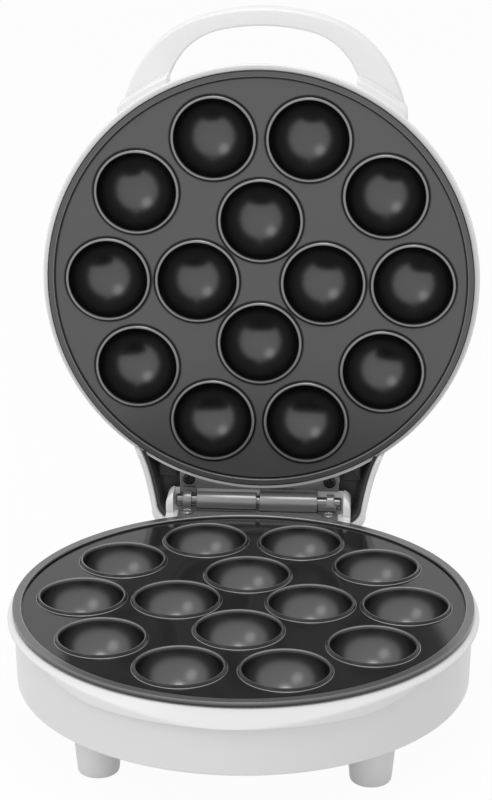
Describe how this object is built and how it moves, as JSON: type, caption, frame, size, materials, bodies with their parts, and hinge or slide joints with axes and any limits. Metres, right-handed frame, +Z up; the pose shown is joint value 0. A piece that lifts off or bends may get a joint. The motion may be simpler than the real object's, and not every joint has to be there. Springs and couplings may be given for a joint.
{
  "type": "mini donut maker",
  "caption": "Countertop mini donut maker with round non-stick plates of small bowls, white drum base on feet, and a hinged white lid with a loop handle, standing open",
  "frame": {"origin": "on the surface it stands on, below the middle of the object's box with the lid open", "axes": "+Z up, +X to the right of someone who faces the open plates, +Y away from them towards the hinge"},
  "size_m": [0.206, 0.2568, 0.2902],
  "materials": {
    "white_shell": "smooth glossy white moulding",
    "white_base": "smooth white moulding",
    "grey_liner": "dark grey moulded tray",
    "nonstick": "cast aluminium with a dark non-stick coat",
    "nonstick_gloss": "cast aluminium with a glossy dark non-stick coat",
    "hinge_steel": "bright rolled steel",
    "pin_steel": "drawn steel pin",
    "screw_black": "blackened steel screws",
    "screw_zinc": "zinc-plated steel screws",
    "tinned_steel": "bright tinned sheet",
    "element_steel": "sheathed heating tube",
    "ceramic": "pale ceramic",
    "sensor": "moulded sensor body",
    "terminal": "cream terminal moulding",
    "lead": "pale heat-proof insulated wire",
    "rubber": "black rubber",
    "lens": "tinted lamp lens",
    "lamp": "small neon lamp"
  },
  "bodies": {
    "base": {"base_housing": "white_base", "bottom_cover": "white_base", "cover_screws": "screw_zinc", "feet": "white_base", "foot_pads": "rubber", "foot_screws": "screw_zinc", "lower_plate": "nonstick_gloss", "lower_heater": "element_steel", "lower_standoffs": "ceramic", "lower_reflector": "tinned_steel", "lower_thermostat": "sensor", "lower_plate_screws": "screw_zinc", "terminal_block": "terminal", "base_leads": "lead", "cord_gland": "rubber", "base_hinge_leaf": "hinge_steel", "base_leaf_screws": "screw_zinc", "hinge_pin": "pin_steel"},
    "lid": {"lid_housing": "white_shell", "handle": "white_shell", "handle_screws": "screw_zinc", "lid_liner": "grey_liner", "upper_plate": "nonstick", "upper_heater": "element_steel", "upper_standoffs": "ceramic", "upper_reflector": "tinned_steel", "upper_thermal_fuse": "sensor", "upper_plate_screws": "screw_zinc", "lid_clips": "hinge_steel", "lamp_lenses": "lens", "lamps": "lamp", "lid_terminal": "terminal", "lid_leads": "lead", "lid_hinge_leaf": "hinge_steel", "lid_leaf_screws": "screw_black"}
  },
  "joints": [
    {"name": "lid_hinge", "type": "hinge", "parent": "base", "child": "lid", "pos_m": [0, 0.08374, 0.0589], "axis": [1, 0, 0], "range_deg": [0, 92.67]}
  ]
}
